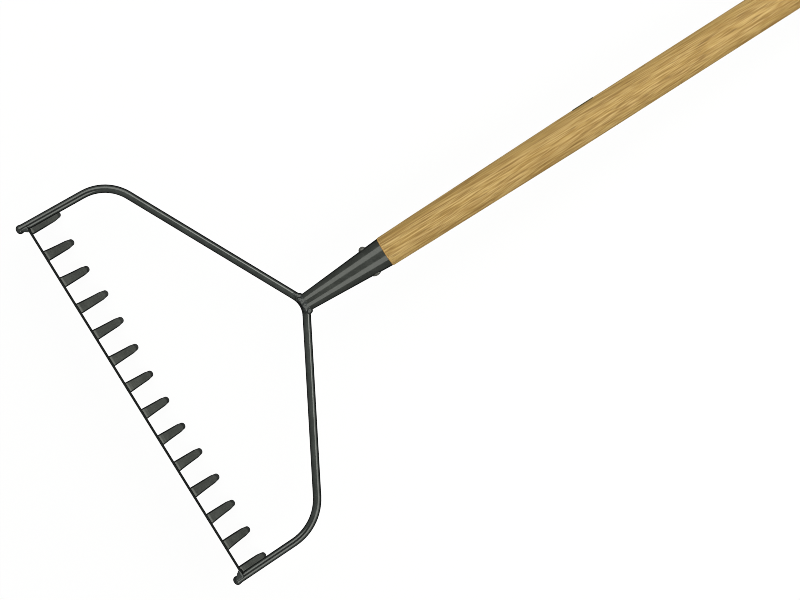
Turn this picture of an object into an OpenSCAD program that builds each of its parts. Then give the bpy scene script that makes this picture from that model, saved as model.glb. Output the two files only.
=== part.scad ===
// Bow rake: a bent round bow carries a stamped tine bar, and a conical socket
// welded to the bow holds a tapered wooden handle.
//
// The rake lies as it rests on the ground: its lowest tine tips and the foot
// of its handle touch z = 0. +X runs along the handle to its free end, +Y is
// the left side, and the origin is the middle of the footprint.

/* [Tine bar] */
// Number of tines
tine_count = 14; // [6:2:14]
// Distance from one tine to the next
tine_pitch = 27; // [24:0.5:27]
// Thickness of the pressed steel strip
strip_t = 2; // [1.5:0.5:3]
// Height of the strip between the tines
web_h = 20; // [16:1:26]
// Height of the strip's top edge above the middle of the bow
web_rise = 5; // [4.5:0.5:8]
// Lean of the strip, its lower edge away from the handle, in degrees
web_lean = 10; // [4:1:12]
// Centre-line radius of the bend where a tine leaves the strip
root_bend_r = 12; // [8:1:16]
// Turn of the sheet in that bend, in degrees
root_turn = 35; // [30:1:40]
// Centre-line radius of the long curve of a tine
sweep_r = 75; // [60:1:90]
// Turn of the sheet along that curve, in degrees
sweep_turn = 25; // [18:1:28]
// Width of a tine where it leaves the strip
tine_root_w = 10.5; // [9:0.1:12]
// Width of a tine where its point begins
tine_neck_w = 7.8; // [7:0.1:8.5]
// Width of the round end of the point
tine_tip_w = 6.2; // [5:0.1:6.8]
// Length of the point
tine_point = 7.5; // [6:0.5:10]

/* [Bow] */
// Diameter of the round bar that the bow is bent from
rod_d = 7.3; // [6:0.1:8]
// Half of the distance between the bow's legs, at the strip
leg_span = 178.5; // [178:0.5:183]
// Outward splay of each leg towards the strip, in degrees
leg_splay = 2.6; // [1:0.1:4]
// Distance from the strip to the corner where a leg turns inward
shoulder_x = 79; // [64:1:90]
// Distance from the strip to the corner at the socket
apex_x = 171.5; // [160:0.5:190]
// Sideways distance of that corner from the middle of the strip
apex_shift = 4.5; // [0:0.5:8]
// Centre-line radius of the left shoulder bend
left_shoulder_r = 40; // [34:1:46]
// Centre-line radius of the right shoulder bend
right_shoulder_r = 46; // [34:1:48]
// Centre-line radius of the bend at the socket
apex_r = 21; // [16:1:26]
// Length of each leg that sticks out past the strip
leg_overhang = 9.9; // [8:0.1:12]
// Diameter of the swollen end of each leg
leg_end_d = 8.2; // [8:0.1:9]
// Radius of the rounded edge of that end
leg_end_round = 3.3; // [2:0.1:3.8]
// Turn of the whole head about the socket, in degrees
head_skew = 1; // [0:0.1:1.2]

/* [Socket] */
// Length of the conical socket
socket_len = 83.5; // [75:0.5:95]
// Outer diameter of the socket at the bow
socket_tip_d = 15.6; // [14:0.1:18]
// Outer diameter of the socket at its mouth
socket_mouth_d = 26.6; // [25:0.1:27]
// Wall thickness of the socket
socket_wall = 1.8; // [1.2:0.1:2.4]
// Solid nose that the socket is welded by
socket_nose = 8; // [6:1:10]
// Distance of the cross rivet from the mouth
rivet_inset = 15.5; // [14:0.5:24]
// Diameter of the rivet's shank
rivet_d = 4; // [3:0.5:5]
// Diameter of the formed head, on the left
rivet_head_d = 6.6; // [5.8:0.1:8]
// Height of the formed head
rivet_head_h = 2.5; // [1.6:0.1:2.9]
// Diameter of the peened head, on the right
rivet_peen_d = 8.4; // [7:0.1:9]
// Height of the peened head
rivet_peen_h = 1.4; // [1:0.1:1.5]

/* [Handle] */
// Length of the handle outside the socket
handle_len = 1330; // [1100:10:1500]
// Diameter of the grip
grip_d = 31.3; // [30.5:0.1:34]
// Diameter of the wood just outside the socket
neck_d = 27.4; // [27.2:0.1:28]
// Diameter of the wood at the end of its short neck
shoulder_d = 28.5; // [28.1:0.1:30]
// Length of the neck
neck_len = 40; // [30:1:60]
// Distance from the socket's mouth to where the grip begins
taper_len = 190; // [150:1:194]
// Depth of the wood inside the socket
tenon_len = 68; // [50:1:72]
// Radius of the rounded edge at the free end
butt_round = 9; // [5:1:12]

/* [Label] */
// Distance of the plain label from the socket's mouth
label_x = 201; // [195:1:206]
// Length of the label along the handle
label_len = 20.5; // [18:0.5:22]
// Part of the handle's girth that the label covers, in degrees
label_wrap = 80; // [40:1:120]
// Angle of the label's upper edge above the handle's left side
label_edge = 4; // [-10:1:20]
// Thickness of the label
label_t = 0.2; // [0.1:0.1:0.3]

/* [Welds] */
// Radius of the fillet at the left end of the strip
left_bar_weld_r = 2.7; // [2.4:0.1:4.2]
// Radius of the fillet at the right end of the strip
right_bar_weld_r = 3.6; // [2.4:0.1:4.2]
// Radius of the lump at the left of the socket
left_weld_r = 3; // [2.6:0.1:4]
// Radius of the lump at the right of the socket
right_weld_r = 3.4; // [2.6:0.1:4.8]
// Height of the bead around the socket's nose
nose_weld_h = 1.1; // [1.1:0.1:2]
// Length of that bead along the socket
nose_weld_len = 4.5; // [4:0.5:6]

/* [Hidden] */

$fn = 96;
steel = [0.28, 0.29, 0.28];
weld_steel = [0.22, 0.23, 0.24];
ash = [0.72, 0.58, 0.36];
paper = [0.33, 0.30, 0.14];

rod_r = rod_d / 2;
grip_r = grip_d / 2;
leg_end_r = leg_end_d / 2;

// How far each tine was set inward from its true place, in degrees, from the
// left end of the strip to the right
tine_set = [10, 4, 2, 8, 6, 3, 0, 0, 0, 2, 4, 3, 1, 1];

// Side view of the sheet, with its web upright: down the web, round the root
// bend, then along the sweep. Points are [x, z]; set is the extra inward turn.
web_drop = web_h - web_rise;
root = [0, -web_drop];
bend_centre = root + [root_bend_r, 0];
function inward(angle) = [cos(angle), sin(angle)];
function sweep_from(set) = root_turn + set;
function sweep_to(set) = sweep_from(set) + sweep_turn;
function sweep_centre(set) =
    bend_centre + (sweep_r - root_bend_r) * inward(sweep_from(set));
function tine_tip(set) = sweep_centre(set) - sweep_r * inward(sweep_to(set));
// The outline of a tine is cut square to the sheet at this turn
function cut_turn(set) = sweep_from(set) + 2 / 3 * sweep_turn;
function tine_reach(set) =
    (tine_tip(set) - root) * [sin(cut_turn(set)), -cos(cut_turn(set))];
// Turn from one flat of a curve to the next, turn of the sheet past the tip
// before the outline is cut, and height of a tine's root inside the web
flats = 10;
sheet_spare = 4;
root_depth = 3;
// One face of the sheet, at the given distance outside its middle
function face_line(out, set) = concat(
    [root + [-out, root_depth]],
    [for (k = [0 : flats])
        bend_centre - (root_bend_r + out) * inward(sweep_from(set) * k / flats)],
    [for (k = [1 : flats])
        sweep_centre(set) - (sweep_r + out)
            * inward(sweep_from(set) + (sweep_turn + sheet_spare) * k / flats)]);
function reversed(list) = [for (i = [len(list) - 1 : -1 : 0]) list[i]];
// A point of the side view, once the web leans
function leaned(p) = [p[0] * cos(web_lean) + p[1] * sin(web_lean),
                      p[1] * cos(web_lean) - p[0] * sin(web_lean)];
bar_half = (tine_count - 1) * tine_pitch / 2;
bar_end = bar_half + tine_root_w / 2;

// Plan of the bow, from its left end to its right end
function leg_y(x) = leg_span - x * tan(leg_splay);
leg_end_x = leg_end_round - leg_overhang;
bow_points = [[leg_end_x, leg_y(leg_end_x)],
              [shoulder_x, leg_y(shoulder_x)],
              [apex_x, -apex_shift],
              [shoulder_x, -leg_y(shoulder_x)],
              [leg_end_x, -leg_y(leg_end_x)]];
bow_radii = [0, left_shoulder_r, apex_r, right_shoulder_r, 0];
function unit(v) = v / norm(v);
function heading(i) = unit(bow_points[i + 1] - bow_points[i]);
function turn(i) = bow_radii[i] == 0 ? 0 : acos(heading(i - 1) * heading(i));
function setback(i) = bow_radii[i] * tan(turn(i) / 2);
function run_length(i) =
    norm(bow_points[i + 1] - bow_points[i]) - setback(i) - setback(i + 1);

// Distances along the handle's axis, measured from the strip
socket_x = apex_x - apex_r * (1 / cos(turn(2) / 2) - 1);
mouth_x = socket_x + socket_len;
rivet_x = mouth_x - rivet_inset;
butt_x = mouth_x + handle_len;
chamfer = 0.8;
function socket_d(x) =
    socket_tip_d + (socket_mouth_d - socket_tip_d) * (x - socket_x) / socket_len;
function bore_d(x) = socket_d(x) - 2 * socket_wall;
neck_x = mouth_x + neck_len;
grip_x = mouth_x + taper_len;

// The tool tilts about the strip until its lowest tine tips and the rounded
// foot of its handle are level
tip_edge = leaned(tine_tip(0) - strip_t / 2 * inward(sweep_to(0)));
foot_x = butt_x - butt_round;
tilt_run = foot_x - tip_edge[0];
tilt_rise = butt_round - grip_r - tip_edge[1];
ground_tilt = atan2(tilt_rise, tilt_run) - asin(butt_round / norm([tilt_run, tilt_rise]));

// Place of the tool over the origin
head_low_x = apex_x - leg_end_round
             - norm([apex_x - leg_end_x, leg_y(leg_end_x) - apex_shift])
             * cos(atan2(leg_y(leg_end_x) - apex_shift, apex_x - leg_end_x) - head_skew);
middle_x = (butt_x + head_low_x) / 2;
middle_y = apex_x * sin(head_skew) + apex_shift * cos(head_skew);
lift = (tip_edge[0] - middle_x) * sin(ground_tilt) - tip_edge[1] * cos(ground_tilt);

// Puts the tool, modelled level with its strip at x = 0, on the ground
module on_ground() {
    translate([0, -middle_y, lift])
        rotate([0, ground_tilt, 0])
            translate([-middle_x, 0, 0]) children();
}

// Turns the head, modelled square to its own strip, about the socket's axis
module in_head() {
    translate([apex_x, 0, 0])
        rotate([0, 0, -head_skew])
            translate([-apex_x, apex_shift, 0]) children();
}

// A cone or cylinder along X, from x0 to x1
module shaft(x0, x1, d0, d1) {
    translate([x0, 0, 0])
        rotate([0, 90, 0]) cylinder(h = x1 - x0, d1 = d0, d2 = d1);
}

// Flat outline of a tine: a long taper, then a rounded point
module tine_outline(reach) {
    tip_r = tine_tip_w / 2;
    polygon([[-tine_root_w / 2, -root_depth], [tine_root_w / 2, -root_depth],
             [tine_neck_w / 2, reach - tine_point], [tip_r, reach - tip_r],
             [-tip_r, reach - tip_r], [-tine_neck_w / 2, reach - tine_point]]);
    translate([0, reach - tip_r]) circle(r = tip_r);
}

module tine(set) {
    intersection() {
        rotate([90, 0, 0])
            linear_extrude(height = 2 * tine_root_w, center = true)
                polygon(concat(face_line(strip_t / 2, set),
                               reversed(face_line(-strip_t / 2, set))));
        translate([root[0], 0, root[1]])
            rotate([0, -90 - cut_turn(set), 0])
                rotate([0, 0, 90])
                    linear_extrude(height = 60, center = true)
                        tine_outline(tine_reach(set));
    }
}

// The strip between the tines
module web() {
    translate([-strip_t / 2, -bar_end, -web_drop])
        cube([strip_t, 2 * bar_end, web_h]);
}

// Clearance at both ends of the strip for the bow's legs
module leg_notches() {
    notch_w = 20;
    for (side = [-1, 1])
        translate([0, side * (leg_y(0) - rod_r + notch_w / 2), notch_w / 2 - rod_r])
            cube(notch_w, center = true);
}

module tine_bar() {
    color(steel) on_ground() in_head() difference() {
        rotate([0, web_lean, 0]) {
            web();
            for (i = [0 : tine_count - 1])
                translate([0, bar_half - i * tine_pitch, 0])
                    tine(tine_set[i]);
        }
        leg_notches();
    }
}

// Moves to where the straight run from corner i begins, with +X along it
module at_run(i) {
    start = bow_points[i] + heading(i) * setback(i);
    translate([start[0], start[1], 0])
        rotate([0, 0, atan2(heading(i)[1], heading(i)[0])]) children();
}

// Straight run of the bow from corner i to the next corner
module bow_run(i) {
    at_run(i) shaft(0, run_length(i), rod_d, rod_d);
}

// Faint ridge that the bending tool leaves where a bend begins or ends
module bend_mark(x) {
    mark_d = rod_d + 0.1;
    shaft(x - 0.3, x + 0.3, mark_d, mark_d);
}

// Bend of the bow at corner i; every bend turns to the right
module bow_bend(i) {
    right = [heading(i)[1], -heading(i)[0]];
    centre = bow_points[i] + heading(i) * setback(i) + right * bow_radii[i];
    translate([centre[0], centre[1], 0])
        rotate([0, 0, atan2(-right[1], -right[0])])
            rotate_extrude(angle = turn(i))
                translate([bow_radii[i], 0]) circle(d = rod_d);
}

// Rounded end of a round bar, its flat side at the origin, towards +Z
module rounded_end(r, round) {
    core_r = r - round;
    rotate_extrude() {
        square([core_r, round]);
        translate([core_r, 0]) intersection() {
            circle(r = round);
            square(round);
        }
    }
}

// End of a leg, swollen where it was sheared off, towards -X
module leg_end() {
    swell = 3.5;
    shaft(0, swell, leg_end_d, rod_d - 0.2);
    rotate([0, -90, 0]) rounded_end(leg_end_r, leg_end_round);
}

module bow_rod() {
    for (i = [0 : 3]) bow_run(i);
    for (i = [1 : 3]) bow_bend(i);
    for (i = [0 : 2]) at_run(i) bend_mark(run_length(i));
    for (i = [1 : 3]) at_run(i) bend_mark(0);
    at_run(0) leg_end();
    at_run(3) translate([run_length(3), 0, 0]) rotate([0, 0, 180]) leg_end();
}

module bow() {
    color(steel) on_ground() in_head() bow_rod();
}

// The solid cone that the socket is bored from
module socket_cone() {
    shaft(socket_x, mouth_x, socket_tip_d, socket_mouth_d);
}

module rivet_hole() {
    translate([rivet_x, 0, 0])
        rotate([90, 0, 0])
            cylinder(h = 2 * socket_mouth_d, d = rivet_d, center = true);
}

module socket() {
    bore_x = socket_x + socket_nose;
    past_x = mouth_x + 1;
    color(steel) on_ground() difference() {
        socket_cone();
        shaft(bore_x, past_x, bore_d(bore_x), bore_d(past_x));
        rivet_hole();
        in_head() bow_rod();
    }
}

// A domed head on the socket's side, towards +Z
module rivet_head(d, height) {
    head_r = d / 2;
    dome_r = (head_r * head_r + height * height) / (2 * height);
    seat = 1;
    rotate_extrude() intersection() {
        translate([0, height - dome_r]) circle(r = dome_r);
        translate([0, -seat]) square([head_r, seat + height]);
    }
}

module rivet() {
    side_r = socket_d(rivet_x) / 2;
    shank = 2 * side_r + rivet_peen_h;
    color(steel) on_ground() translate([rivet_x, 0, 0]) {
        rotate([90, 0, 0]) cylinder(h = shank, d = rivet_d, center = true);
        difference() {
            union() {
                translate([0, side_r, 0]) rotate([-90, 0, 0]) rivet_head(rivet_head_d, rivet_head_h);
                translate([0, -side_r, 0]) rotate([90, 0, 0]) rivet_head(rivet_peen_d, rivet_peen_h);
            }
            translate([-rivet_x, 0, 0]) socket_cone();
        }
    }
}

module handle() {
    tenon_x = mouth_x - tenon_len;
    color(ash) on_ground() {
        difference() {
            shaft(tenon_x, mouth_x, bore_d(tenon_x), bore_d(mouth_x));
            rivet_hole();
        }
        shaft(mouth_x, mouth_x + chamfer, neck_d - 2 * chamfer, neck_d);
        shaft(mouth_x + chamfer, neck_x, neck_d, shoulder_d);
        shaft(neck_x, grip_x, shoulder_d, grip_d);
        shaft(grip_x, foot_x, grip_d, grip_d);
        translate([foot_x, 0, 0]) rotate([0, 90, 0]) rounded_end(grip_r, butt_round);
    }
}

// Thin sheet stuck to the left side of the grip
module label() {
    color(paper) on_ground()
        translate([mouth_x + label_x, 0, 0])
            rotate([0, 90, 0])
                rotate([0, 0, 90 + label_edge - label_wrap])
                    rotate_extrude(angle = label_wrap)
                        translate([grip_r, 0]) square([label_t, label_len]);
}

// Bead round the nose of the socket, with a lump in each corner of the bow
module socket_weld() {
    start_x = socket_x - 1;
    bead_d = socket_tip_d + 2 * nose_weld_h;
    lump_x = socket_x + 1.9;
    lump_y = bead_d / 2 - 1.7;
    color(weld_steel) on_ground() difference() {
        union() {
            shaft(start_x, start_x + nose_weld_len, bead_d - 2, bead_d - 0.2);
            translate([lump_x, lump_y, 0]) sphere(r = left_weld_r);
            translate([lump_x, -lump_y - 0.1, 0]) sphere(r = right_weld_r);
        }
        socket_cone();
        in_head() {
            bow_bend(2);
            bow_run(1);
            bow_run(2);
        }
    }
}

// Fillet in the corner between one leg and the outer face of the strip
module bar_weld(side) {
    half_h = 2.6;
    weld_r = side > 0 ? left_bar_weld_r : right_bar_weld_r;
    color(weld_steel) on_ground() in_head() difference() {
        translate([-strip_t / 2 - weld_r / 3, side * (leg_y(0) - rod_r - 0.4), -0.6]) {
            cylinder(h = 2 * half_h, r = weld_r, center = true);
            for (end = [-half_h, half_h])
                translate([0, 0, end]) sphere(r = weld_r);
        }
        rotate([0, web_lean, 0])
            translate([-strip_t / 2, -2 * bar_end, -web_h]) cube([web_h, 4 * bar_end, 2 * web_h]);
        bow_run(side > 0 ? 0 : 3);
    }
}

tine_bar();
bow();
socket();
rivet();
handle();
label();
socket_weld();
bar_weld(1);  // left_bar_weld
bar_weld(-1);  // right_bar_weld
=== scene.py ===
"""Looks of the bow rake: materials, weld beads, light and camera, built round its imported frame."""

import math

import bmesh
import bpy
from mathutils import Matrix, Vector, noise


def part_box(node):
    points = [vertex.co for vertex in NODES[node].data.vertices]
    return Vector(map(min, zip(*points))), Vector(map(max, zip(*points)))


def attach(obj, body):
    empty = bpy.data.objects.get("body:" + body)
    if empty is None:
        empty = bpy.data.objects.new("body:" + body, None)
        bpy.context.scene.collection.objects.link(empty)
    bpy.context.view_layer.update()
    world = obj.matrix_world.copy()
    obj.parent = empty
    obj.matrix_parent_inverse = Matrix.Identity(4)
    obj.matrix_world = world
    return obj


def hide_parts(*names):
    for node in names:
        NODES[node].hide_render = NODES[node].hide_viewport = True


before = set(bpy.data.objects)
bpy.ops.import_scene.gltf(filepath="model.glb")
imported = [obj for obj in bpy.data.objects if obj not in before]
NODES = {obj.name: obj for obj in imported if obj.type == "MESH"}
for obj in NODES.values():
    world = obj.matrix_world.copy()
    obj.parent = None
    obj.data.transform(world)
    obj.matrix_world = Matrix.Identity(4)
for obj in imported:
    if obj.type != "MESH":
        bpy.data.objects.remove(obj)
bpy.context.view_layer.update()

SCENE = bpy.context.scene
MM = 0.001


# ---------------------------------------------------------------- the frame

ORIGIN = Vector((0.0, 0.0, 0.0))
BACKWARD = Vector((1.0, 0.0, 0.0))
UP = Vector((0.0, 0.0, 1.0))
LEFT = Vector((0.0, 1.0, 0.0))
# The handle's axis runs through the middle of the socket and drops slightly
# towards its foot. RISE is square to it and to LEFT.
GROUND_TILT = math.radians(1.208)
AXIS = Vector((math.cos(GROUND_TILT), 0.0, -math.sin(GROUND_TILT)))
RISE = Vector((math.sin(GROUND_TILT), 0.0, math.cos(GROUND_TILT)))
# Radii and middles of the socket's mouth, where the handle goes in, and of
# its narrow tip, where the bow is welded on.
SOCKET_LOW, SOCKET_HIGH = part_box("socket")
TIP_R = 7.8 * MM
MOUTH_R = (SOCKET_HIGH.y - SOCKET_LOW.y) / 2
MOUTH = Vector((SOCKET_HIGH.x, (SOCKET_LOW.y + SOCKET_HIGH.y) / 2, SOCKET_HIGH.z)) - MOUTH_R * RISE
TIP = MOUTH + AXIS * (SOCKET_LOW.x + TIP_R * RISE.x - MOUTH.x) / AXIS.x

# The tines in millimetres: their pitch, the height of their roots, half their
# width there, and how much of it they lose and how far they drift sideways
# per millimetre of drop.
TINE_PITCH = 27.0
TINE_ROOT_Z = 33.0
TINE_HALF_WIDTH = 5.15
TINE_TAPER = 0.043
TINE_DRIFT = 0.011
# Their dark outline, which is painted shade: its width, how sharply it begins, and how far above the
# roots it ends.
TINE_OUTLINE = 1.35
TINE_OUTLINE_SHARPNESS = 2.0
TINE_OUTLINE_ABOVE = 1.0
# A tine's tip is told by its drop and by how far its face has turned up,
# which holds for every set angle. The last value is how round the tip is.
TINE_TURN = 16.0
TINE_TIP = 40.7
TINE_TIP_ROUND = 0.17


def on_tool(along, left, up):
    """Point given from the socket's tip, along the handle's axis, to its left and above it."""
    return TIP + along * AXIS + left * LEFT + up * RISE


# ---------------------------------------------------------------- node helpers

class Nodes:
    """Short way to build a node tree."""

    def __init__(self, tree):
        self.tree = tree
        tree.nodes.clear()

    def add(self, kind, **inputs):
        """New node; an underscore in an input's name stands for a space."""
        node = self.tree.nodes.new(kind)
        for name, value in inputs.items():
            self.feed(node, name.replace("_", " "), value)
        return node

    def feed(self, node, name, value):
        """Links another node's output to an input, or sets the input to a constant."""
        socket = node.inputs[name]
        if isinstance(value, bpy.types.NodeSocket):
            self.tree.links.new(value, socket)
        else:
            socket.default_value = value

    def math(self, operation, *values, clamp=False):
        node = self.tree.nodes.new("ShaderNodeMath")
        node.operation = operation
        node.use_clamp = clamp
        for i, value in enumerate(values):
            self.feed(node, i, value)
        return node.outputs[0]

    def vector(self, operation, first, second):
        node = self.tree.nodes.new("ShaderNodeVectorMath")
        node.operation = operation
        self.feed(node, 0, first)
        self.feed(node, 1, second)
        return node

    def noise(self, vector, scale, detail, roughness=0.5):
        node = self.add("ShaderNodeTexNoise", Vector=vector, Scale=scale, Detail=detail, Roughness=roughness)
        return node.outputs["Fac"]

    def ramp(self, value, *stops):
        """Colour ramp; each stop is (position, grey or colour)."""
        node = self.add("ShaderNodeValToRGB", Fac=value)
        elements = node.color_ramp.elements
        while len(elements) < len(stops):
            elements.new(0.5)
        for element, (position, tone) in zip(elements, stops):
            colour = tone if isinstance(tone, tuple) else (tone, tone, tone)
            element.position = position
            element.color = (*colour, 1.0)
        return node.outputs["Color"]

    def mix(self, factor, a, b, blend="MIX"):
        """Mixes two colours; the numbers are the Mix node's colour inputs and output."""
        node = self.tree.nodes.new("ShaderNodeMix")
        node.data_type = "RGBA"
        node.blend_type = blend
        for index, value in ((0, factor), (6, a), (7, b)):
            self.feed(node, index, (*value, 1.0) if isinstance(value, tuple) else value)
        return node.outputs[2]

    def place(self):
        """Object coordinates in metres."""
        return self.add("ShaderNodeTexCoord").outputs["Object"]

    def stretched(self, scale, rotation):
        """Object coordinates, turned and then scaled."""
        mapping = self.add("ShaderNodeMapping", Vector=self.place(), Rotation=rotation)
        return self.vector("MULTIPLY", mapping.outputs[0], scale).outputs[0]

    def facing(self, direction):
        """How squarely the surface faces a fixed direction of the object, from -1 to 1."""
        normal = self.add("ShaderNodeTexCoord").outputs["Normal"]
        return self.vector("DOT_PRODUCT", normal, direction).outputs["Value"]

    def along(self, direction, start):
        """Distance in millimetres along a direction, counted from a point."""
        reach = self.vector("DOT_PRODUCT", self.place(), direction).outputs["Value"]
        return self.math("MULTIPLY", self.math("SUBTRACT", reach, start.dot(direction)), 1 / MM)

    def bump(self, height, distance, strength):
        node = self.add("ShaderNodeBump", Height=height, Distance=distance, Strength=strength)
        return node.outputs["Normal"]

    def either(self, choice, no, yes):
        """Mixes two shaders: the first where the choice is 0, the second where it is 1."""
        node = self.tree.nodes.new("ShaderNodeMixShader")
        for index, value in enumerate((choice, no.outputs[0], yes.outputs[0])):
            self.feed(node, index, value)
        return node

    def finish(self, kind, shader):
        """Links a shader to the tree's output."""
        self.tree.links.new(shader.outputs[0], self.add(kind).inputs["Surface"])


def new_material(name):
    material = bpy.data.materials.new(name)
    material.use_nodes = True
    return material, Nodes(material.node_tree)


def finish_material(nodes, **inputs):
    nodes.finish("ShaderNodeOutputMaterial", nodes.add("ShaderNodeBsdfPrincipled", **inputs))


def wear(piece, material):
    """Gives every slot of an object this material."""
    slots = piece.data.materials
    if len(slots) == 0:
        slots.append(material)
    for i in range(len(slots)):
        slots[i] = material


def tinted(base, factor):
    return tuple(factor * c for c in base)


# ---------------------------------------------------------------- enamelled steel

# Linear colours: painted shade for black edges and sides, the dust, painted shade on the crown of the bow's
# legs, a painted pale reflection where the tines leave the strip, and painted shade on their flat lower ends.
PAINTED_DARK_EDGE = (0.006, 0.007, 0.007)
DUST = (0.17, 0.17, 0.155)
PAINTED_LEG_CROWN_SHADE = (0.014, 0.015, 0.015)
PAINTED_ROOT_REFLECTION = (0.15, 0.155, 0.145)
PAINTED_LOWER_END_SHADE = (0.022, 0.024, 0.022)
# Noise scales per metre of the enamel's orange peel, cloudy gloss and dust.
PEEL_SCALE = 700.0
CLOUD_SCALE = 90.0
SPECK_SCALE = 800.0
DUST_SHARE = 0.2
# Millimetres in front of the socket's tip between which the bow's arms end and
# the painted shade on the crown of its legs begins.
LEG_START = 88.0
LEG_FULL = 104.0
# The strip's top edge faces this way, because the strip leans. It is painted black as painted shade.
STRIP_TOP = Vector((-0.17, 0.0, 0.985))


def enamel(name, base, gloss_rough, rim, peel_depth=0.02 * MM, gloss=0.5, shade=None):
    """Dark satin enamel with orange peel, fine dust and cloudy gloss.

    The rim is the pair of upward slopes between which a side is painted black, as painted shade.
    shade gives the piece's own masks of painted light and shade: those with a colour, and the black ones.
    """
    material, n = new_material(name)
    place = n.place()
    peel = n.noise(place, PEEL_SCALE, 2.0)
    cloud = n.noise(place, CLOUD_SCALE, 5.0, 0.62)
    speck = n.noise(place, SPECK_SCALE, 3.0, 0.7)
    tones, blacks = shade(n) if shade else ([], [])
    colour = n.mix(n.ramp(cloud, (0.35, 0.0), (0.7, 1.0)), tinted(base, 0.82), tinted(base, 1.2))
    for mask, tone in tones:
        colour = n.mix(mask, colour, tone)
    # Painted shade: sides that turn from straight up, and the piece's black masks, are painted near black.
    dark = n.ramp(n.facing(UP), (rim[0], 1.0), (rim[1], 0.0))
    for mask in blacks:
        dark = n.math("MAXIMUM", dark, mask)
    colour = n.mix(dark, colour, PAINTED_DARK_EDGE)
    dusty = n.math("MULTIPLY", n.ramp(speck, (0.58, 0.0), (0.78, 1.0)), DUST_SHARE)
    colour = n.mix(dusty, colour, DUST)
    rough = n.ramp(cloud, (0.3, gloss_rough - 0.04), (0.75, gloss_rough + 0.08))
    finish_material(n, Base_Color=colour, Roughness=rough, Specular_IOR_Level=gloss,
                    Normal=n.bump(peel, peel_depth, 0.5))
    return material


def rod_shade(n):
    """Drawn rod: painted shade makes the crown of the two legs darker than that of the arms."""
    crown = n.ramp(n.facing(UP), (0.955, 0.0), (0.99, 1.0))
    ahead = n.along(-AXIS, TIP)
    share = n.math("DIVIDE", n.math("SUBTRACT", ahead, LEG_START), LEG_FULL - LEG_START)
    legs = n.ramp(share, (0.0, 0.0), (1.0, 0.9))
    return [(n.math("MULTIPLY", crown, legs), PAINTED_LEG_CROWN_SHADE)], []


def tine_edges(n):
    """Mask of painted shade, white round the outline of each tine, from its place along the strip and its
    taper.
    """
    low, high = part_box("tine_bar")
    drop = n.math("SUBTRACT", TINE_ROOT_Z, n.along(UP, ORIGIN))
    place = n.math("MULTIPLY_ADD", drop, TINE_DRIFT, n.along(LEFT, (low + high) / 2))
    turn = n.math("FRACT", n.math("DIVIDE", place, TINE_PITCH))
    off = n.math("MULTIPLY", n.math("ABSOLUTE", n.math("SUBTRACT", turn, 0.5)), TINE_PITCH)
    inner = n.math("MULTIPLY_ADD", drop, -TINE_TAPER, TINE_HALF_WIDTH - TINE_OUTLINE)
    sides = n.math("MULTIPLY", n.math("SUBTRACT", off, inner), TINE_OUTLINE_SHARPNESS, clamp=True)
    tipward = n.math("MULTIPLY_ADD", n.facing(UP), TINE_TURN, drop)
    tipward = n.math("MULTIPLY_ADD", n.math("MULTIPLY", off, off), TINE_TIP_ROUND, tipward)
    tips = n.math("SUBTRACT", tipward, TINE_TIP, clamp=True)
    below = n.math("GREATER_THAN", drop, -TINE_OUTLINE_ABOVE)
    return n.math("MULTIPLY", n.math("MAXIMUM", sides, tips), below)


def sheet_shade(n):
    """Pressed sheet: painted shade on its outlines, top edge and tine ends, and a painted reflection at the
    tine roots.
    """
    up = n.facing(UP)
    # Painted reflection: a paler band where each tine bends away from the strip.
    band = n.ramp(up, (0.0, 0.0), (0.08, 1.0), (0.30, 1.0), (0.46, 0.0))
    # Painted shade on the lower ends of the tines, where their faces turn up.
    flat = n.ramp(up, (0.44, 0.0), (0.80, 0.75))
    # Painted shade: the strip's top edge is painted black.
    top = n.ramp(n.facing(STRIP_TOP), (0.80, 0.0), (0.93, 1.0))
    return [(band, PAINTED_ROOT_REFLECTION), (flat, PAINTED_LOWER_END_SHADE)], [tine_edges(n), top]


# ---------------------------------------------------------------- wood and label

# The fibres run along the handle, less than a degree off its axis.
FIBRE_TURN = (0.0, GROUND_TILT, math.radians(0.9))
PALE_LINE = (0.60, 0.41, 0.16)
BROWN_LINE = (0.24, 0.13, 0.034)
PALE_FIBRE = (0.55, 0.37, 0.14)
BROWN_FIBRE = (0.25, 0.135, 0.036)
PORE = (0.15, 0.08, 0.022)
FLECK = (0.24, 0.15, 0.06)
SAWN_EDGE = (0.66, 0.37, 0.13)
LABEL_EDGE = (0.055, 0.048, 0.012)
# Painted shade: share of the wood's brightness that is left where it faces straight up.
CROWN_SHADE_SHARE = 0.86


def grain(n, along, across, detail, roughness=0.5):
    """Noise drawn out along the fibres, with its scales per metre along and across them."""
    return n.noise(n.stretched((along, across, across), FIBRE_TURN), 1.0, detail, roughness)


def label_edge(n):
    """White on the side of the handle next to the label, over the label's length."""
    low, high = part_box("label")
    share = n.math("DIVIDE", n.along(BACKWARD, low), (high.x - low.x) / MM)
    side = n.ramp(n.facing(LEFT), (0.94, 0.0), (0.965, 0.9))
    return n.math("MULTIPLY", n.math("COMPARE", share, 0.5, 0.5), side)


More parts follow.
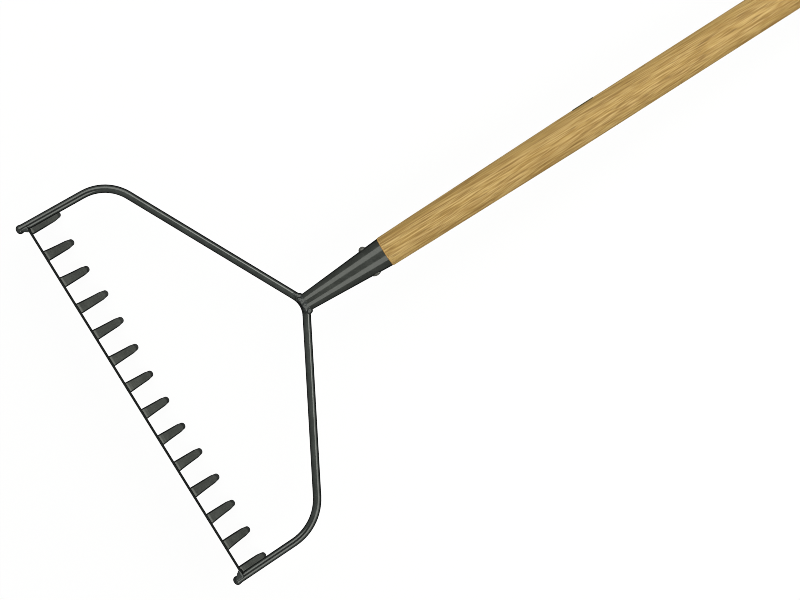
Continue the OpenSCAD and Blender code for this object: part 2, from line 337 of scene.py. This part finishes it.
def ash_wood():
    """Straight-grained ash under a thin satin varnish, with long pale fibres and short brown pores."""
    material, n = new_material("ash_wood")
    broad = grain(n, 3.0, 130.0, 3.0, 0.55)
    line = grain(n, 8.0, 1050.0, 1.0)
    fine = grain(n, 22.0, 1700.0, 1.0)
    dash = grain(n, 60.0, 1400.0, 2.0)
    fleck = grain(n, 260.0, 1700.0, 2.0, 0.6)
    colour = n.ramp(broad, (0.36, (0.358, 0.208, 0.056)), (0.50, (0.392, 0.239, 0.069)),
                    (0.64, (0.415, 0.260, 0.080)))
    for mark, start, end, tone in ((line, (0.53, 0.0), (0.64, 0.8), PALE_LINE),
                                   (line, (0.34, 0.85), (0.46, 0.0), BROWN_LINE),
                                   (fine, (0.53, 0.0), (0.65, 0.7), PALE_FIBRE),
                                   (fine, (0.34, 0.8), (0.47, 0.0), BROWN_FIBRE),
                                   (dash, (0.28, 0.9), (0.37, 0.0), PORE),
                                   (fleck, (0.30, 0.4), (0.40, 0.0), FLECK)):
        colour = n.mix(n.ramp(mark, start, end), colour, tone)
    # Painted shade: the handle is darker where it faces straight up.
    colour = n.mix(1.0, colour, n.ramp(n.facing(UP), (0.15, 1.0), (0.95, CROWN_SHADE_SHARE)), "MULTIPLY")
    ring_at_mouth = n.ramp(n.along(AXIS, MOUTH), (0.9, 0.7), (1.0, 0.0))
    colour = n.mix(ring_at_mouth, colour, SAWN_EDGE)
    colour = n.mix(label_edge(n), colour, LABEL_EDGE)
    growth = n.noise(n.stretched((1.0, 90.0, 600.0), FIBRE_TURN), 1.0, 3.0)
    end_grain = n.ramp(growth, (0.42, (0.19, 0.11, 0.04)), (0.56, (0.36, 0.23, 0.09)))
    colour = n.mix(n.ramp(n.facing(AXIS), (0.75, 0.0), (0.95, 1.0)), colour, end_grain)
    height = n.math("ADD", n.math("MULTIPLY", fine, 0.6), n.ramp(dash, (0.3, 0.0), (0.4, 0.6)))
    finish_material(n, Base_Color=colour, Roughness=n.ramp(broad, (0.3, 0.62), (0.7, 0.5)),
                    Specular_IOR_Level=0.3, Normal=n.bump(height, 0.08 * MM, 0.5))
    return material


def label_film():
    """Plain matt olive film with faint creases."""
    material, n = new_material("label_film")
    crease = n.noise(n.place(), 260.0, 3.0, 0.6)
    colour = n.mix(crease, (0.018, 0.016, 0.005), (0.034, 0.031, 0.012))
    finish_material(n, Base_Color=colour, Roughness=0.5, Normal=n.bump(crease, 0.05 * MM, 0.4))
    return material


steel = enamel("painted_steel", (0.0365, 0.039, 0.0365), 0.12, (0.30, 0.50))
rod_steel = enamel("rod_steel", (0.040, 0.044, 0.0425), 0.09, (0.50, 0.76), gloss=0.66, shade=rod_shade)
sheet_steel = enamel("sheet_steel", (0.064, 0.067, 0.063), 0.30, (-0.02, 0.02), gloss=0.2, shade=sheet_shade)
weld_steel = enamel("weld_steel", (0.036, 0.040, 0.040), 0.26, (0.42, 0.70), peel_depth=0.06 * MM)
rivet_steel = enamel("rivet_steel", (0.10, 0.10, 0.092), 0.14, (-0.5, -0.1))
for node, material in (("tine_bar", sheet_steel), ("bow", rod_steel), ("socket", steel),
                       ("rivet", rivet_steel), ("handle", ash_wood()), ("label", label_film())):
    wear(NODES[node], material)


# ---------------------------------------------------------------- weld beads

BEAD_VOXEL = 0.45 * MM
SMOOTH_PASSES = 3
# The ripples on a bead: their depth, and their coarse and fine waves per metre.
RIPPLE = 0.12 * MM
COARSE_WAVE = 520.0
FINE_WAVE = 1300.0


def bead(name, node, balls):
    """One lumpy weld bead, melted together from overlapping balls of (centre, radius)."""
    shape = bmesh.new()
    for centre, radius in balls:
        bmesh.ops.create_icosphere(shape, subdivisions=2, radius=radius, matrix=Matrix.Translation(centre))
    mesh = bpy.data.meshes.new(name)
    shape.to_mesh(mesh)
    shape.free()
    piece = bpy.data.objects.new(name, mesh)
    SCENE.collection.objects.link(piece)
    remesh = piece.modifiers.new("melt", "REMESH")
    remesh.mode = "VOXEL"
    remesh.voxel_size = BEAD_VOXEL
    smooth = piece.modifiers.new("settle", "SMOOTH")
    smooth.iterations = SMOOTH_PASSES
    graph = bpy.context.evaluated_depsgraph_get()
    melted = bpy.data.meshes.new_from_object(piece.evaluated_get(graph))
    piece.modifiers.clear()
    piece.data = melted
    melted.name = name
    for vertex in melted.vertices:
        wave = noise.noise(vertex.co * COARSE_WAVE) + 0.5 * noise.noise(vertex.co * FINE_WAVE)
        vertex.co += vertex.normal * RIPPLE * wave
    for face in melted.polygons:
        face.use_smooth = True
    wear(piece, weld_steel)
    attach(piece, "root")
    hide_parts(node)


def ball(along, left, up, radius):
    """A ball given in millimetres from the socket's tip."""
    return on_tool(along * MM, left * MM, up * MM), radius * MM


def nose_ring():
    """Bead round the socket's nose in five swells, thinning out up the socket."""
    balls = []
    steps = 30
    swells = 5
    rim = TIP_R / MM - 0.5
    slope = 0.066
    for k in range(steps):
        a = 2 * math.pi * k / steps
        grow = 0.25 * math.sin(swells * a)
        balls.append(ball(-0.1, rim * math.cos(a), rim * math.sin(a), 1.25 + grow))
        for along, radius in ((1.2, 1.25), (2.5, 1.1), (3.6, 0.95)):
            out = rim + slope * along - 0.1
            turn = a + along
            balls.append(ball(along + 2 * grow, out * math.cos(turn), out * math.sin(turn), radius))
    return balls


def rod_fillets():
    """Rippled fillets from the socket's nose down to the bow, above it and below it."""
    balls = []
    half = 4
    for up in (-1, 1):
        for k in range(-half, half + 1):
            s = k / half
            wave = 0.3 * math.sin(7 * s)
            balls.append(ball(-0.7 - s * s, 6.0 * s, up * (4.0 + wave), 1.9 + wave / 2))
            balls.append(ball(-0.5, 5.6 * s, up * 5.3, 1.8))
    return balls


def arm_lumps():
    """Metal piled up beside the nose, where it meets the bow's arms: more of it on the left."""
    lumps = ((1.0, 7.4, 2.9), (-0.6, 9.3, 2.6), (-2.0, 11.2, 2.2), (1.3, -7.3, 3.3))
    return [ball(along, left, up, radius) for up in (-2.0, 0.0, 2.0) for along, left, radius in lumps]


def corner_balls(node, side, along_leg, along_strip, radius):
    """Balls that fill the corner between the end of a leg and the back of the strip."""
    low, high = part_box(node)
    corner = Vector((high.x, high.y if side > 0 else low.y, (low.z + high.z) / 2))
    tall = (high.z - low.z) / 2 - radius
    last = 5
    balls = []
    for i in range(last + 1):
        for j in range(last + 1 - i):
            for up in (-1.0, -0.33, 0.33, 1.0):
                back = 0.3 * radius + i / last * (along_leg - 1.3 * radius)
                out = j / last * (along_strip - radius)
                balls.append((corner + Vector((-back, -side * out, up * tall)), radius))
    return balls


bead("socket_weld_bead", "socket_weld", nose_ring() + rod_fillets() + arm_lumps())
bead("left_bar_weld_bead", "left_bar_weld",
     corner_balls("left_bar_weld", 1, 6.0 * MM, 4.6 * MM, 1.3 * MM))
bead("right_bar_weld_bead", "right_bar_weld",
     corner_balls("right_bar_weld", -1, 8.0 * MM, 6.4 * MM, 1.6 * MM))


# ---------------------------------------------------------------- light

WHITE = (1.0, 1.0, 1.0, 1.0)
SOFT_WHITE = (1.0, 1.03, 0.95)
SOFTBOX_RADIANCE = 2.35
# The softboxes' distance from the socket's tip. The long ones run beside the
# whole rake, so their middles are shifted towards its middle.
REACH = 1.8
SIDE_LENGTH = 2.8
SIDE_SHIFT = Vector((0.55, 0.0, 0.0))
END_WIDTH = 1.9
END_LENGTH = 1.5
# What the room and the floor send to surfaces: a little that shiny ones
# mirror, and what is added for matt ones.
ROOM_MIRRORED = 0.02
ROOM_ADDED = 0.20
FLOOR_MIRRORED = 0.01
FLOOR_ADDED = 0.60
FLOOR_HALF = 60.0
FLOOR_Z = -0.5 * MM
SHADOW_SHARE = 0.06


def softbox(name, place, aim, width, length):
    """A rectangular area light that the camera doesn't see."""
    data = bpy.data.lights.new(name, "AREA")
    data.shape = "RECTANGLE"
    data.size = width
    data.size_y = length
    data.color = SOFT_WHITE
    data.energy = SOFTBOX_RADIANCE * width * length * math.pi
    lamp = bpy.data.objects.new(name, data)
    SCENE.collection.objects.link(lamp)
    lamp.location = place
    lamp.rotation_mode = "QUATERNION"
    lamp.rotation_quaternion = (place - aim).to_track_quat("Z", "Y")
    lamp.visible_camera = False


def on_dome(azimuth, polar):
    """Direction at an azimuth and at an angle from straight up."""
    return Vector((math.cos(azimuth) * math.sin(polar), math.sin(azimuth) * math.sin(polar), math.cos(polar)))


def side_softbox(name, azimuth, polar_from, polar_to):
    """A long softbox beside the rake, between two angles from straight up."""
    width = 2 * REACH * math.tan(math.radians(polar_to - polar_from) / 2)
    middle = math.radians(polar_from + polar_to) / 2
    aim = TIP + SIDE_SHIFT
    softbox(name, aim + REACH * on_dome(math.radians(azimuth), middle), aim, SIDE_LENGTH, width)


def by_ray(n, mirrored, added):
    """Brightness that differs between shiny and matt surfaces, and whether the camera looks."""
    path = n.add("ShaderNodeLightPath")
    bright = n.math("MULTIPLY_ADD", path.outputs["Is Diffuse Ray"], added, mirrored)
    return bright, path.outputs["Is Camera Ray"]


def studio_world():
    """White behind the object, with a dim room for what it reflects."""
    world = bpy.data.worlds.new("studio")
    SCENE.world = world
    world.use_nodes = True
    n = Nodes(world.node_tree)
    bright, seen = by_ray(n, ROOM_MIRRORED, ROOM_ADDED)
    room = n.add("ShaderNodeBackground", Color=WHITE, Strength=bright)
    backdrop = n.add("ShaderNodeBackground", Color=WHITE, Strength=1.0)
    n.finish("ShaderNodeOutputWorld", n.either(seen, room, backdrop))


def studio_floor():
    """A pale floor that keeps only a breath of the shadows."""
    mesh = bpy.data.meshes.new("floor")
    corners = [(x * FLOOR_HALF, y * FLOOR_HALF, 0.0) for x, y in ((-1, -1), (1, -1), (1, 1), (-1, 1))]
    mesh.from_pydata(corners, [], [(0, 1, 2, 3)])
    floor = bpy.data.objects.new("floor", mesh)
    SCENE.collection.objects.link(floor)
    floor.location.z = FLOOR_Z
    material, n = new_material("pale_floor")
    bright, seen = by_ray(n, FLOOR_MIRRORED, FLOOR_ADDED)
    lit = n.add("ShaderNodeEmission", Color=WHITE, Strength=bright)
    glow = n.add("ShaderNodeEmission", Color=WHITE, Strength=1.0)
    matt = n.add("ShaderNodeBsdfDiffuse", Color=(0.8, 0.8, 0.8, 1.0))
    shown = n.either(SHADOW_SHARE, glow, matt)
    n.finish("ShaderNodeOutputMaterial", n.either(seen, lit, shown))
    mesh.materials.append(material)


side_softbox("left_softbox", 90.0, 22.0, 63.0)
side_softbox("right_softbox", -90.0, 25.0, 66.0)
softbox("end_softbox", TIP + REACH * on_dome(0.0, math.radians(50.0)), TIP, END_WIDTH, END_LENGTH)
studio_world()
studio_floor()
SCENE.view_settings.view_transform = "Standard"
SCENE.cycles.filter_width = 0.8


# ---------------------------------------------------------------- camera

# The camera's place, the direction that it looks from, as an azimuth and an
# angle from straight up, its roll, and its lens and sensor in millimetres.
EYE = Vector((-0.34354, 0.00716, 2.39207))
VIEW_AZIMUTH = math.radians(15.782)
VIEW_POLAR = math.radians(5.057)
ROLL = math.radians(-138.369)
LENS = 123.2
SENSOR = 36.0
FAR_LIMIT = 100.0


def place_camera():
    """Looks down on the head from above the socket, turned so that the handle leaves to the upper right."""
    data = bpy.data.cameras.new("camera")
    data.sensor_width = SENSOR
    data.lens = LENS
    data.clip_end = FAR_LIMIT
    camera = bpy.data.objects.new("camera", data)
    SCENE.collection.objects.link(camera)
    back = on_dome(VIEW_AZIMUTH, VIEW_POLAR)
    level = Vector((-math.sin(VIEW_AZIMUTH), math.cos(VIEW_AZIMUTH), 0.0))
    right = math.cos(ROLL) * level + math.sin(ROLL) * back.cross(level)
    axes = Matrix((right, back.cross(right), back)).transposed().to_4x4()
    camera.matrix_world = Matrix.Translation(EYE) @ axes
    SCENE.camera = camera


place_camera()
